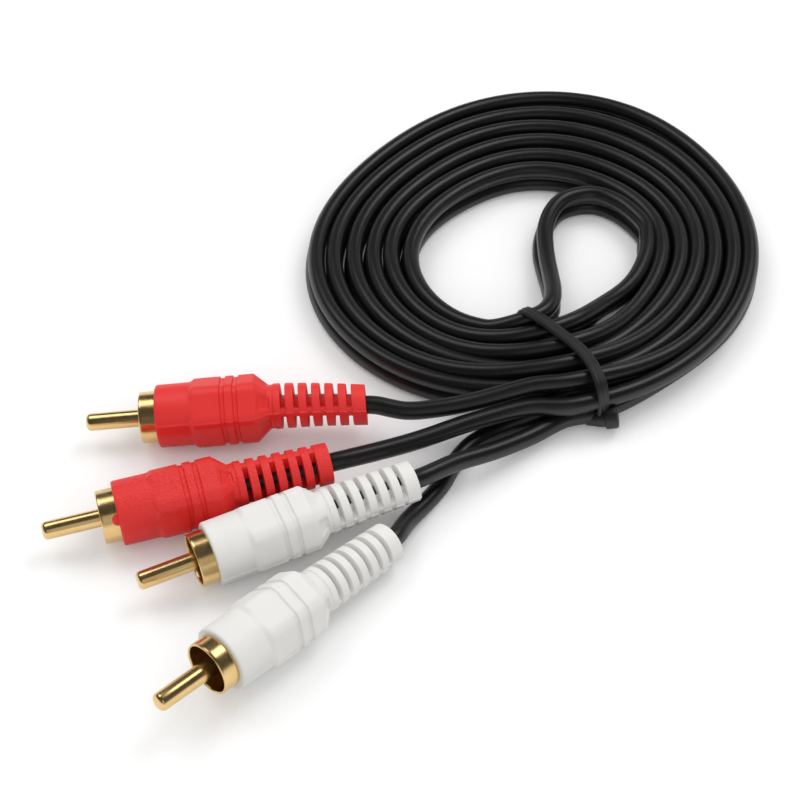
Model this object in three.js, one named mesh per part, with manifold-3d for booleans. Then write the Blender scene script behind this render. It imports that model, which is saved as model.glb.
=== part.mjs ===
// A stereo audio lead: a twin black cable with a red and a white phono plug at each end,
// wound in a flat coil that a short tie holds. Millimetres, +Z up. The origin is on the
// surface that the lead lies on, under the middle of the four plugs.
import * as THREE from 'three';
import { mergeVertices } from 'three/addons/utils/BufferGeometryUtils.js';
import Module from 'manifold-3d';

const wasm = await Module();
wasm.setup();

// Gap that touching pieces keep
const gap = 0.3;

// How far a solid that cuts another runs past it
const cutPast = 1;

// Plug lengths, measured along its axis from the tip of the centre pin
const pinReach = 10.1;
const shellShows = 3.0;
const pinHeldLength = 10.8;
const pinTailLength = 3.0;
const shellHeldLength = 5.5;
const insulatorThickness = 1.4;
const collarLength = 2.6;
const frontCollarLength = 6.1;
const shoulderLength = 1.1;
const bodyLength = 10.7;
const taperLength = 2.65;
const neckLength = 0.75;
const reliefLength = 16.8;

// Plug diameters
const pinDiameter = 3.2;
const pinTailDiameter = 2.2;
const pinTipRounding = 0.8;
const shellDiameter = 9.4;
const shellWall = 0.45;
const collarWall = 0.4;
const insulatorWall = 0.6;
const frontCollarDiameter = 11.5;
const bodyAcrossFlats = 11.7;
const bodyAcrossCorners = 12.7;
const reliefStartDiameter = 8.4;
const reliefEndDiameter = 7.44;
const neckDiameter = 7.7;
const edgeRounding = 0.4;

// Grooves round the plug's body
const grooveWidth = 0.9;
const grooveDepth = 0.35;
const firstGroovePlace = 6.2;
const groovePitch = 2.36;

// Strain relief: rings joined by a flat web in the mould's parting plane
const slotCount = 6;
const slotPitch = 2.41;
const slotWidth = 0.9;
const firstSlotPlace = 1.75;
const webHalfThickness = 0.75;
const webInset = 0.12;

// Slot in the shell's wall that the moulded body keys into
const keyWidth = 2.2;
const keyShows = 1.1;
const keyLength = 3.2;

// Cable
const cableDiameter = 3.4;
const coreDiameter = 0.9;
const shieldWireDiameter = 0.7;
const shieldWireOffset = 1.15;
const coreLength = 8.5;
const cableStepLength = 6.8;
const cableStraightRun = 1.7;

// Winding: radius of the innermost turn and spacing of the turns, at every 45 degrees
// counter-clockwise from +X
const coilCentre = new THREE.Vector2(55.8, 77.5);
const firstTurnRadius = [22.3, 22.8, 21.8, 20.8, 24.35, 27.6, 27.2, 21.0];
const turnSpacing = [3.52, 4.15, 4.68, 3.95, 3.83, 3.5, 2.9, 3.3];
const turnsOfTheDoubledLead = 3;
const coilEdgeChamfer = 1.2;
const coilFacetAngle = 10;
const coilStepAngle = 1;

// Where the winding is drawn together by the tie
const tieAngle = -4;
const tieSpread = 26;
const tieLift = 1.4;
const nestingRise = 1.7;

// Places on the winding, in degrees clockwise from its near side
const tailsLeave = 8;
const loopMeetsCoil = -104;
const loopEntersTie = -12;
const loopSetBack = 4;
const loopEndAngle = -9;
const tieInnerEnd = 6.7;
const tieOuterEnd = -12.2;

// Tie
const tieWidth = 2.6;
const tieThickness = 0.9;
const tieSlack = 1.3;
const tieCornerRadius = 2.4;
const tieEndDiameter = 3.4;
const tieEndLength = 3.0;

const red = { color: 0xde3230, roughness: 0.45, metalness: 0 };
const white = { color: 0xe8e8e6, roughness: 0.45, metalness: 0 };
const gold = { color: 0xd9a94e, roughness: 0.25, metalness: 1 };
const copper = { color: 0xb87333, roughness: 0.4, metalness: 1 };
const insulatorWhite = { color: 0xd8d4c8, roughness: 0.6, metalness: 0 };
const black = { color: 0x161616, roughness: 0.5, metalness: 0 };

// The four plugs where they lie: the pin tip's place in plan, the heading from tip to cable,
// the pitch at which the cable end rises, and the roll of the parting plane, in degrees.
// tail is the route of its cable, by hand, from the plug to the face of the coil.
const plugs = [
  {
    name: 'red_plug_a',
    finish: red,
    tip: [-28.35, 28.4],
    heading: 1.8,
    pitch: 3.8,
    roll: -27,
    keyAngle: -90,
    tail: [[30.0, 29.1, 7.8], [37.0, 29.7, 7.6], [43.0, 30.9, 7.9], [48.0, 32.0, 8.2]],
  },
  {
    name: 'red_plug_b',
    finish: red,
    tip: [-32.9, 1.95],
    heading: 16,
    pitch: 2.0,
    roll: -103,
    keyAngle: 156,
    tail: [[25.6, 19.9, 6.7], [31.9, 22.6, 6.3], [42.4, 27.3, 6.0], [47.9, 29.0, 6.0]],
  },
  {
    name: 'white_plug_a',
    finish: white,
    tip: [-15.4, -8.95],
    heading: 24.8,
    pitch: 1.6,
    roll: 7.5,
    keyAngle: -90,
    tail: [[38.8, 17.5, 5.8], [45.8, 21.6, 4.3], [52.4, 26.0, 3.1]],
  },
  {
    name: 'white_plug_b',
    finish: white,
    tip: [-9.3, -35.5],
    heading: 45,
    pitch: -5.0,
    roll: 15,
    keyAngle: -90,
    tail: [
      [30.1, 6.5, 2.8], [33.8, 12.0, 1.75], [36.3, 15.9, 1.7],
      [38.3, 20.2, 1.7], [41.9, 25.4, 1.7], [47.8, 28.7, 2.2],
    ],
  },
];

// The small loop inside the coil, where the doubled lead folds, from the winding's right side
// back to the tie: plan place and height of the lead's middle
const loopRoute = [
  [74.8, 85.8, 3.4], [71.9, 89.4, 3.4], [68.9, 91.3, 3.4], [65.0, 91.5, 3.4], [61.4, 88.6, 3.4],
  [58.9, 83.4, 3.4], [57.8, 77.2, 3.4], [57.7, 70.6, 3.8], [57.9, 63.6, 4.9], [57.8, 57.4, 6.0],
];

const radians = THREE.MathUtils.degToRad;
const cableRadius = cableDiameter / 2;
const shellRadius = shellDiameter / 2;
const mouldStart = pinReach + shellShows;
const shellEnd = mouldStart + shellHeldLength;
const collarEnd = shellEnd + collarLength;
const pinShoulder = pinReach + pinHeldLength;
const pinEnd = pinShoulder + pinTailLength;
const bodyStart = mouldStart + frontCollarLength;
const bodyEnd = bodyStart + shoulderLength + bodyLength;
const taperEnd = bodyEnd + taperLength;
const reliefStart = taperEnd + neckLength;
const plugEnd = reliefStart + reliefLength;
const coreEnd = pinEnd + gap + coreLength;
const cableStart = coreEnd + gap;

// Closed solids from geometry classes

// Leaves only merged positions and real triangles, so that a geometry is one closed mesh
function closed(geometry) {
  geometry.deleteAttribute('normal');
  geometry.deleteAttribute('uv');
  const merged = mergeVertices(geometry, 1e-4);
  const index = merged.getIndex().array;
  const kept = [];
  for (let i = 0; i < index.length; i += 3) {
    const [a, b, c] = [index[i], index[i + 1], index[i + 2]];
    if (a !== b && b !== c && c !== a) {
      kept.push(a, b, c);
    }
  }
  merged.setIndex(kept);
  return merged;
}

function toSolid(geometry) {
  const mesh = closed(geometry);
  return new wasm.Manifold(new wasm.Mesh({
    numProp: 3,
    vertProperties: new Float32Array(mesh.getAttribute('position').array),
    triVerts: new Uint32Array(mesh.getIndex().array),
  }));
}

function toGeometry(solid) {
  const mesh = solid.getMesh();
  const geometry = new THREE.BufferGeometry();
  geometry.setAttribute('position', new THREE.BufferAttribute(mesh.vertProperties, 3));
  geometry.setIndex(new THREE.BufferAttribute(mesh.triVerts, 1));
  return geometry;
}

// Turns a profile of [place along the plug, radius] points about the plug's axis, which is X
function turned(profile, sides = 16) {
  const points = profile.map(([along, radius]) => new THREE.Vector2(radius, along));
  const geometry = new THREE.LatheGeometry(points, sides);
  geometry.rotateZ(-Math.PI / 2);
  return geometry;
}

// A disc or rod along X with an end at each of two places
function rod(start, end, diameter, sides = 16) {
  return turned([[start, 0], [start, diameter / 2], [end, diameter / 2], [end, 0]], sides);
}

// A block from one place along X to another, with its other sizes centred on the axis
function block(start, end, width, height) {
  const geometry = new THREE.BoxGeometry(end - start, width, height);
  geometry.translate((start + end) / 2, 0, 0);
  return geometry;
}

// A hexagonal bar along X with two corners in the parting plane, which is XY
function hexagonalBar(start, end, acrossFlats) {
  const cornerRadius = acrossFlats / Math.sqrt(3);
  const geometry = new THREE.CylinderGeometry(cornerRadius, cornerRadius, end - start, 6);
  geometry.rotateZ(-Math.PI / 2);
  geometry.rotateX(Math.PI / 2);
  geometry.translate((start + end) / 2, 0, 0);
  return geometry;
}

// Pieces of one plug, each along +X from its pin's tip

function centrePin() {
  const radius = pinDiameter / 2;
  const tip = [0, 30, 60, 90].map((degrees) => [
    pinTipRounding * (1 - Math.sin(radians(degrees))),
    radius - pinTipRounding + pinTipRounding * Math.cos(radians(degrees)),
  ]).reverse();
  return closed(turned([
    [0, 0], ...tip, [pinShoulder, radius], [pinShoulder, pinTailDiameter / 2],
    [pinEnd, pinTailDiameter / 2], [pinEnd, 0],
  ]));
}

const insulatorBore = pinDiameter / 2 + gap;
const insulatorNeckRadius = insulatorBore + insulatorWall;
const collarBore = insulatorNeckRadius + gap;
const collarRadius = collarBore + collarWall;

function keyOutline(width, length) {
  const shape = new THREE.Shape();
  shape.moveTo(length, width / 2);
  shape.lineTo(width / 2, width / 2);
  shape.absarc(width / 2, 0, width / 2, Math.PI / 2, Math.PI * 1.5, false);
  shape.lineTo(length, -width / 2);
  return shape;
}

// A bar with a round front end, standing outward from inner to outer radius at the key's angle
function keyBar(plug, start, width, length, innerRadius, outerRadius) {
  const shape = keyOutline(width, length);
  const geometry = new THREE.ExtrudeGeometry(shape, {
    depth: outerRadius - innerRadius, bevelEnabled: false, curveSegments: 4,
  });
  geometry.translate(start, 0, innerRadius);
  geometry.rotateX(radians(plug.keyAngle));
  return geometry;
}

function groundShell(plug) {
  const bore = shellRadius - shellWall;
  const cup = toSolid(turned([
    [pinReach, bore], [pinReach, shellRadius], [shellEnd, shellRadius], [shellEnd, collarRadius],
    [collarEnd, collarRadius], [collarEnd, collarBore], [shellEnd - shellWall, collarBore],
    [shellEnd - shellWall, bore], [pinReach, bore],
  ], 24));
  const slot = toSolid(keyBar(
    plug, mouldStart - keyShows - gap, keyWidth + 2 * gap, keyLength + 2 * gap,
    bore - cutPast, shellRadius + cutPast,
  ));
  return closed(toGeometry(cup.subtract(slot)));
}

function insulator() {
  const front = shellEnd - shellWall - gap - insulatorThickness;
  const discRadius = shellRadius - shellWall - gap;
  return closed(turned([
    [front, insulatorBore], [front, discRadius], [front + insulatorThickness, discRadius],
    [front + insulatorThickness, insulatorNeckRadius], [collarEnd, insulatorNeckRadius],
    [collarEnd, insulatorBore], [front, insulatorBore],
  ]));
}

function innerCore() {
  return closed(rod(pinEnd + gap, coreEnd, coreDiameter, 8));
}

function shieldWire() {
  const wire = rod(collarEnd + gap, coreEnd, shieldWireDiameter, 8);
  wire.translate(0, shieldWireOffset + pinTailDiameter / 2, 0);
  return closed(wire);
}

// Outer radius of the strain relief's cone at a place along the plug
function reliefRadius(place) {
  const share = (place - reliefStart) / reliefLength;
  return THREE.MathUtils.lerp(reliefStartDiameter, reliefEndDiameter, share) / 2;
}

function strainRelief() {
  let relief = toSolid(turned([
    [taperEnd - taperLength / 2, 0], [taperEnd - taperLength / 2, neckDiameter / 2],
    [reliefStart, neckDiameter / 2], [reliefStart, reliefRadius(reliefStart)],
    [plugEnd - edgeRounding, reliefRadius(plugEnd)], [plugEnd, reliefRadius(plugEnd) - edgeRounding],
    [plugEnd, 0],
  ]));
  const wide = 2 * reliefStartDiameter;
  for (let i = 0; i < slotCount; i += 1) {
    const start = reliefStart + firstSlotPlace + i * slotPitch - slotWidth / 2;
    const end = start + slotWidth;
    const webRadius = reliefRadius(start) - webInset;
    const web = toSolid(block(start - cutPast, end + cutPast, wide, webHalfThickness * 2));
    const kept = toSolid(rod(start - cutPast, end + cutPast, 2 * webRadius)).intersect(web);
    relief = relief.subtract(toSolid(block(start, end, wide, wide)).subtract(kept));
  }
  return relief;
}

function mouldedBody() {
  const corner = bodyAcrossCorners / 2;
  const outline = (shrink) => {
    const bar = hexagonalBar(bodyStart, taperEnd, bodyAcrossFlats - 2 * shrink);
    const ends = turned([
      [bodyStart, 0], [bodyStart, frontCollarDiameter / 2 - shrink],
      [bodyStart + shoulderLength, corner - shrink], [bodyEnd, corner - shrink],
      [taperEnd, neckDiameter / 2 - shrink], [taperEnd, 0],
    ]);
    return toSolid(bar).intersect(toSolid(ends));
  };
  const core = outline(grooveDepth);
  let body = outline(0);
  for (let i = 0; i < 2; i += 1) {
    const start = bodyStart + firstGroovePlace + i * groovePitch - grooveWidth / 2;
    const ring = toSolid(rod(start, start + grooveWidth, bodyAcrossCorners * 1.5));
    body = body.subtract(ring.subtract(core));
  }
  return body;
}

// Room inside the moulding for the shell, its collar, the wires and the cable
function mouldedCavity() {
  const shellRoom = shellRadius + gap;
  const collarRoom = collarRadius + gap;
  const wireReach = shieldWireOffset + (pinTailDiameter + shieldWireDiameter) / 2;
  const wireRoom = Math.max(cableRadius, wireReach) + gap;
  const cableRoom = cableRadius + gap;
  return toSolid(turned([
    [mouldStart - cutPast, 0], [mouldStart - cutPast, shellRoom], [shellEnd + gap, shellRoom],
    [shellEnd + gap, collarRoom], [collarEnd + gap, collarRoom], [collarEnd + gap, wireRoom],
    [cableStart, wireRoom], [cableStart, cableRoom],
    [plugEnd + cutPast, cableRoom], [plugEnd + cutPast, 0],
  ]));
}

function overmould(plug) {
  const radius = frontCollarDiameter / 2;
  const frontCollar = toSolid(turned([
    [mouldStart, 0], [mouldStart, radius - edgeRounding], [mouldStart + edgeRounding, radius],
    [bodyStart + shoulderLength / 2, radius], [bodyStart + shoulderLength / 2, 0],
  ]));
  const key = toSolid(keyBar(
    plug, mouldStart - keyShows, keyWidth, keyLength, shellRadius - shellWall, shellRadius + 2 * gap,
  ));
  const moulding = frontCollar.add(mouldedBody()).add(strainRelief()).subtract(mouldedCavity()).add(key);
  return closed(toGeometry(moulding));
}

// The winding

// Value at an angle of a quantity given at equal steps round the coil, as a smooth wave
function roundTheCoil(values, angle) {
  const count = values.length;
  const step = (2 * Math.PI) / count;
  let sum = values.reduce((total, value) => total + value, 0) / count;
  for (let wave = 1; wave <= count / 2; wave += 1) {
    const share = wave === count / 2 ? 1 / count : 2 / count;
    values.forEach((value, i) => {
      sum += share * value * Math.cos(wave * (angle - i * step));
    });
  }
  return sum;
}

// How many turn widths out from the innermost place the doubled lead's inner half lies.
// The lead steps out by two while it goes from the far side round the right to the near side.
function turnsOut(clockwise) {
  const whole = Math.floor(clockwise / 360);
  const share = THREE.MathUtils.clamp((clockwise - 360 * whole - 180) / 180, 0, 1);
  return 2 * (whole + share - Math.sin(2 * Math.PI * share) / (2 * Math.PI));
}

function windingRadius(clockwise, column) {
  const angle = radians(270 - clockwise);
  return roundTheCoil(firstTurnRadius, angle) + roundTheCoil(turnSpacing, angle) * column;
}

function onTheCoil(clockwise, radius, height) {
  const angle = radians(270 - clockwise);
  return new THREE.Vector3(
    coilCentre.x + radius * Math.cos(angle), coilCentre.y + radius * Math.sin(angle), height,
  );
}

// How far the tie is felt at a place: 1 under the tie, fading to 0 away from it
function nearTie(clockwise) {
  const away = THREE.MathUtils.euclideanModulo(clockwise - tieAngle + 180, 360) - 180;
  return Math.exp(-((away / tieSpread) ** 2));
}

// Middle of the twin lead in the outer half of the doubled winding, where it lies on its edge
function outerHalfMiddle(clockwise) {
  const height = cableDiameter + tieLift * nearTie(clockwise);
  return onTheCoil(clockwise, windingRadius(clockwise, turnsOut(clockwise) + 1), height);
}

// Stations round the coil's solid, clockwise from where the tails leave it, with a close pair
// at each place where the number of turns changes. inner and outer are the columns of strands
// that bound the solid there.
function coilStations() {
  const stations = [];
  const widest = 2 * turnsOfTheDoubledLead - 1;
  const stretches = [
    [tailsLeave + coilStepAngle, 360 + loopMeetsCoil - coilStepAngle],
    [360 + loopMeetsCoil, 360 + loopEntersTie - coilStepAngle],
    [360 + loopEntersTie, 360 + tailsLeave],
  ];
  stretches.forEach(([from, to], filled) => {
    const count = Math.ceil((to - from) / coilFacetAngle);
    for (let i = 0; i <= count; i += 1) {
      const clockwise = from + ((to - from) * i) / count;
      const out = turnsOut(clockwise);
      stations.push({ clockwise, inner: out - filled, outer: out + widest });
    }
  });
  return stations;
}

// One closed solid of the coil's outer shape
function coil() {
  const stations = coilStations();
  const corners = [[0, 1], [0, 2], [1, 3], [2, 3], [3, 2], [3, 1], [2, 0], [1, 0], [0, 1]];
  const profile = corners.map(([across, up]) => new THREE.Vector2(across + 1, up));
  const geometry = new THREE.LatheGeometry(profile, stations.length);
  const position = geometry.getAttribute('position');
  for (let i = 0; i <= stations.length; i += 1) {
    const { clockwise, inner, outer } = stations[i % stations.length];
    const felt = nearTie(clockwise);
    const low = tieLift * felt;
    const high = 2 * cableDiameter + (tieLift + nestingRise) * felt;
    const from = windingRadius(clockwise, inner) - cableRadius;
    const to = windingRadius(clockwise, outer) + cableRadius;
    const radii = [from, from + coilEdgeChamfer, to - coilEdgeChamfer, to];
    const heights = [low, low + coilEdgeChamfer, high - coilEdgeChamfer, high];
    corners.forEach(([across, up], j) => {
      const point = onTheCoil(clockwise, radii[across], heights[up]);
      position.setXYZ(i * corners.length + j, point.x, point.y, point.z);
    });
  }
  return closed(geometry);
}

// Cables on the surface

function roundSection(radius, sides) {
  const shape = new THREE.Shape();
  for (let i = 0; i < sides; i += 1) {
    const angle = ((i + 0.5) / sides) * 2 * Math.PI;
    const [x, y] = [radius * Math.cos(angle), radius * Math.sin(angle)];
    if (i === 0) {
      shape.moveTo(x, y);
    } else {
      shape.lineTo(x, y);
    }
  }
  shape.closePath();
  return shape;
}

// Section of the twin lead on its edge: two strands, one above the other
function twinSection() {
  const shape = new THREE.Shape();
  shape.absarc(cableRadius, 0, cableRadius, -Math.PI / 2, Math.PI / 2, false);
  shape.absarc(-cableRadius, 0, cableRadius, Math.PI / 2, Math.PI * 1.5, false);
  return shape;
}

function along(points, section, curveSegments = 3) {
  const route = new THREE.CatmullRomCurve3(points, false, 'centripetal');
  const steps = Math.ceil(route.getLength() / cableStepLength);
  return closed(new THREE.ExtrudeGeometry(section, {
    extrudePath: route, steps, bevelEnabled: false, curveSegments,
  }));
}

// The cable from inside its plug to the face of the coil
function tailCable(plug, group) {
  const straight = [cableStart, (cableStart + plugEnd) / 2, plugEnd, plugEnd + cableStraightRun]
    .map((place) => group.localToWorld(new THREE.Vector3(place, 0, 0)));
  const free = plug.tail.map(([x, y, z]) => new THREE.Vector3(x, y, z));
  return along([...straight, ...free], roundSection(cableRadius, 8));
}

function foldLoop() {
  const start = outerHalfMiddle(loopMeetsCoil - loopSetBack);
  const free = loopRoute.map(([x, y, z]) => new THREE.Vector3(x, y, z));
  const wall = onTheCoil(loopEndAngle, windingRadius(loopEndAngle, 0) - cableRadius - gap, 0);
  const end = new THREE.Vector3(free.at(-1).x, wall.y, free.at(-1).z);
  return along([start, ...free, end], twinSection());
}

// The tie, round the whole winding and the four tails

function roundedRectangle(path, from, to, low, high, radius) {
  path.moveTo(from + radius, low);
  path.lineTo(to - radius, low);
  path.absarc(to - radius, low + radius, radius, -Math.PI / 2, 0, false);
  path.absarc(to - radius, high - radius, radius, 0, Math.PI / 2, false);
  path.absarc(from + radius, high - radius, radius, Math.PI / 2, Math.PI, false);
  path.absarc(from + radius, low + radius, radius, Math.PI, Math.PI * 1.5, false);
  return path;
}

function tie() {
  const lastColumn = 2 * turnsOfTheDoubledLead + 1;
  const innerEnd = onTheCoil(tieInnerEnd, windingRadius(tieInnerEnd, 0) - cableRadius, 0);
  const outerEnd = onTheCoil(tieOuterEnd, windingRadius(tieOuterEnd, lastColumn) + cableRadius, 0);
  const across = outerEnd.clone().sub(innerEnd);
  const length = across.length();
  const top = 2 * cableDiameter + tieLift + nestingRise + gap;
  const outline = roundedRectangle(
    new THREE.Shape(), -tieSlack - tieThickness, length + tieSlack + tieThickness, 0, top + tieThickness,
    tieCornerRadius,
  );
  outline.holes.push(roundedRectangle(
    new THREE.Path(), -tieSlack, length + tieSlack, tieThickness, top, tieCornerRadius - tieThickness,
  ));
  const band = new THREE.ExtrudeGeometry(outline, {
    depth: tieWidth, bevelEnabled: false, curveSegments: 3,
  });
  band.translate(0, 0, -tieWidth / 2);
  const end = new THREE.CylinderGeometry(tieEndDiameter / 2, tieEndDiameter / 2, tieEndLength, 12);
  end.rotateZ(-Math.PI / 2);
  end.translate(length + tieSlack + tieEndLength / 2, tieEndDiameter / 2, tieWidth / 2);
  const whole = toGeometry(toSolid(band).add(toSolid(end)));
  whole.rotateX(Math.PI / 2);
  whole.rotateZ(Math.atan2(across.y, across.x));
  whole.translate(innerEnd.x, innerEnd.y, 0);
  return closed(whole);
}

// Assembly

function piece(name, geometry, finish) {
  const mesh = new THREE.Mesh(geometry, new THREE.MeshStandardMaterial(finish));
  mesh.name = name;
  return mesh;
}

// Lays a plug down where its pin's tip, heading, pitch and roll say, resting on the surface
function layDown(group, plug) {
  group.rotation.order = 'ZYX';
  group.rotation.set(radians(plug.roll), -radians(plug.pitch), radians(plug.heading));
  group.position.set(plug.tip[0], plug.tip[1], 0);
  group.updateMatrixWorld(true);
  const box = new THREE.Box3().setFromObject(group, true);
  group.position.z = -box.min.z;
  group.updateMatrixWorld(true);
}

const lead = new THREE.Group();

for (const plug of plugs) {
  const group = new THREE.Group();
  group.add(piece(`${plug.name}_overmould`, overmould(plug), plug.finish));
  group.add(piece(`${plug.name}_ground_shell`, groundShell(plug), gold));
  group.add(piece(`${plug.name}_centre_pin`, centrePin(), gold));
  group.add(piece(`${plug.name}_insulator`, insulator(), insulatorWhite));
  group.add(piece(`${plug.name}_inner_core`, innerCore(), copper));
  group.add(piece(`${plug.name}_shield_wire`, shieldWire(), copper));
  layDown(group, plug);
  lead.add(group);
  lead.add(piece(`${plug.name}_tail_cable`, tailCable(plug, group), black));
}

lead.add(piece('twin_cable_coil', coil(), black));
lead.add(piece('twin_cable_fold_loop', foldLoop(), black));
lead.add(piece('cable_tie', tie(), black));

export default lead;
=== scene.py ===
"""A stereo audio lead: twin black cable in a flat tied coil, with two red and two white plugs.

Sizes are millimetres in the classes and metres in the meshes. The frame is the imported
model's: +Z up, the surface that the lead lies on at zero, +Y away from the camera.
"""

import logging
import math
from abc import ABC, abstractmethod
from dataclasses import dataclass
from enum import Enum
from functools import cached_property
from typing import Callable, Iterable, Sequence

import bpy
from mathutils import Matrix, Vector, noise


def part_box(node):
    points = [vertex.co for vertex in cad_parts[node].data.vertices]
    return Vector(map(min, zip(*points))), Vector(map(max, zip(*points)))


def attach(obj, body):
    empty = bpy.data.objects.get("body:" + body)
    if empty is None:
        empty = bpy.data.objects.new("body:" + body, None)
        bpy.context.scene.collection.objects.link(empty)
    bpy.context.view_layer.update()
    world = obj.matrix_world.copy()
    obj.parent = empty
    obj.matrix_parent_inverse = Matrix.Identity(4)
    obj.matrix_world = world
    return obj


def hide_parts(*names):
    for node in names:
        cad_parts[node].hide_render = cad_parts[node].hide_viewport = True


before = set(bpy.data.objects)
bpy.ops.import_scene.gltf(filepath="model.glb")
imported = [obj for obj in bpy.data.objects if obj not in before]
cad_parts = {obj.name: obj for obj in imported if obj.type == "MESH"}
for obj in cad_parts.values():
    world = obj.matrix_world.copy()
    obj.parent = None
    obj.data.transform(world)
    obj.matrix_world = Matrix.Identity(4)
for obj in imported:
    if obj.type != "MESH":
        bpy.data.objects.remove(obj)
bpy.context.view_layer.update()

log = logging.getLogger("audio_lead")

MM = 0.001
BODY = "root"
UP = Vector((0, 0, 1))

Point = tuple[float, float, float]


def linear(hex_colour: str) -> tuple[float, float, float, float]:
    """Turns an sRGB colour into linear light.

    Args:
        hex_colour: Six hex digits, with or without a leading hash.

    Returns:
        Red, green, blue and an alpha of 1, in linear light.
    """
    digits = hex_colour.lstrip("#")
    channels = [int(digits[i:i + 2], 16) / 255 for i in (0, 2, 4)]
    red, green, blue = [
        c / 12.92 if c <= 0.04045 else ((c + 0.055) / 1.055) ** 2.4 for c in channels
    ]
    return red, green, blue, 1.0


def smooth_step(low: float, high: float, value: float) -> float:
    """Eases from 0 at low to 1 at high."""
    share = min(max((value - low) / (high - low), 0.0), 1.0)
    return share * share * (3 - 2 * share)


def soft_min(a: float, b: float, width: float) -> float:
    """Takes the smaller of two values, with the corner between them rounded over width."""
    share = min(max(0.5 + (b - a) / (2 * width), 0.0), 1.0)
    return b + (a - b) * share - width * share * (1 - share)


# Meshes


def make_object(
    name: str,
    points: Iterable[Vector],
    faces: Iterable[Sequence[int]],
    sharp_above: float = 38.0,
) -> bpy.types.Object:
    """Makes a smooth-shaded mesh object whose edges stay crisp above an angle.

    Args:
        name: The object's name.
        points: The mesh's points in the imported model's frame, in metres.
        faces: The faces, as indices of points.
        sharp_above: Edges that bend by more than this many degrees are shaded as edges.

    Returns:
        The new object, linked to the scene.
    """
    mesh = bpy.data.meshes.new(name)
    mesh.from_pydata([tuple(p) for p in points], [], [tuple(f) for f in faces])
    mesh.validate()
    mesh.shade_smooth()
    mesh.set_sharp_from_angle(angle=math.radians(sharp_above))
    made = bpy.data.objects.new(name, mesh)
    bpy.context.scene.collection.objects.link(made)
    return made


def ring_faces(rings: int, sides: int, closed: bool = False) -> list[tuple[int, ...]]:
    """Joins rings of points with quads.

    Args:
        rings: How many rings there are, one after another in the point list.
        sides: How many points each ring has.
        closed: Whether the last ring joins the first.

    Returns:
        The quads, facing out where each ring runs counter-clockwise about its direction.
    """
    faces: list[tuple[int, ...]] = []
    for i in range(rings if closed else rings - 1):
        here, there = i * sides, ((i + 1) % rings) * sides
        for j in range(sides):
            k = (j + 1) % sides
            faces.append((here + j, here + k, there + k, there + j))
    return faces


def capped(rings: int, sides: int) -> list[tuple[int, ...]]:
    """Joins rings with quads and closes both ends with a flat face.

    Args:
        rings: How many rings there are.
        sides: How many points each ring has.

    Returns:
        The quads and the two end faces.
    """
    faces = ring_faces(rings, sides)
    faces.append(tuple(reversed(range(sides))))
    faces.append(tuple((rings - 1) * sides + j for j in range(sides)))
    return faces


def through(knots: Sequence[Vector], spacing: float) -> list[Vector]:
    """Draws a smooth line through knots, with points at an even spacing.

    Args:
        knots: The points that the line passes through.
        spacing: The distance between the points that come back.

    Returns:
        Points along a centripetal Catmull-Rom curve, from the first knot to the last.
    """
    ends = [2 * knots[0] - knots[1], *knots, 2 * knots[-1] - knots[-2]]
    fine: list[Vector] = []
    for i in range(1, len(ends) - 2):
        a, b, c, d = ends[i - 1:i + 3]
        t0 = 0.0
        t1 = t0 + math.sqrt((b - a).length)
        t2 = t1 + math.sqrt((c - b).length)
        t3 = t2 + math.sqrt((d - c).length)
        steps = max(2, round(4 * (c - b).length / spacing))
        for step in range(steps):
            t = t1 + (t2 - t1) * step / steps
            ab = a * ((t1 - t) / (t1 - t0)) + b * ((t - t0) / (t1 - t0))
            bc = b * ((t2 - t) / (t2 - t1)) + c * ((t - t1) / (t2 - t1))
            cd = c * ((t3 - t) / (t3 - t2)) + d * ((t - t2) / (t3 - t2))
            abc = ab * ((t2 - t) / (t2 - t0)) + bc * ((t - t0) / (t2 - t0))
            bcd = bc * ((t3 - t) / (t3 - t1)) + cd * ((t - t1) / (t3 - t1))
            fine.append(abc * ((t2 - t) / (t2 - t1)) + bcd * ((t - t1) / (t2 - t1)))
    fine.append(knots[-1].copy())
    return evenly(fine, spacing)


def evenly(line: Sequence[Vector], spacing: float) -> list[Vector]:
    """Samples a line of points again at an even spacing, with both ends kept.

    Args:
        line: The points to sample.
        spacing: The distance between the points that come back.

    Returns:
        The new points.
    """
    reach = [0.0]
    for a, b in zip(line, line[1:]):
        reach.append(reach[-1] + (b - a).length)
    count = max(2, round(reach[-1] / spacing))
    out: list[Vector] = []
    at = 0
    for i in range(count + 1):
        goal = reach[-1] * i / count
        while at < len(reach) - 2 and reach[at + 1] < goal:
            at += 1
        span = reach[at + 1] - reach[at]
        share = 0.0 if span == 0 else (goal - reach[at]) / span
        out.append(line[at].lerp(line[at + 1], share))
    return out


def length_of(line: Sequence[Vector]) -> float:
    """Adds up the distances between neighbouring points."""
    return sum((b - a).length for a, b in zip(line, line[1:]))


def direction_at(line: Sequence[Vector], i: int) -> Vector:
    """The direction of a line at one of its points, from the points beside it."""
    return (line[min(i + 1, len(line) - 1)] - line[max(i - 1, 0)]).normalized()


def frames_along(line: Sequence[Vector]) -> list[tuple[Vector, Vector]]:
    """Gives each point of a line its side and its upper side.

    Args:
        line: The points.

    Returns:
        One (side, upper side) for each point, each of length 1.
    """
    out = []
    for i, _ in enumerate(line):
        ahead = direction_at(line, i)
        side = ahead.cross(UP).normalized()
        out.append((side, side.cross(ahead).normalized()))
    return out


# Finishes


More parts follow.
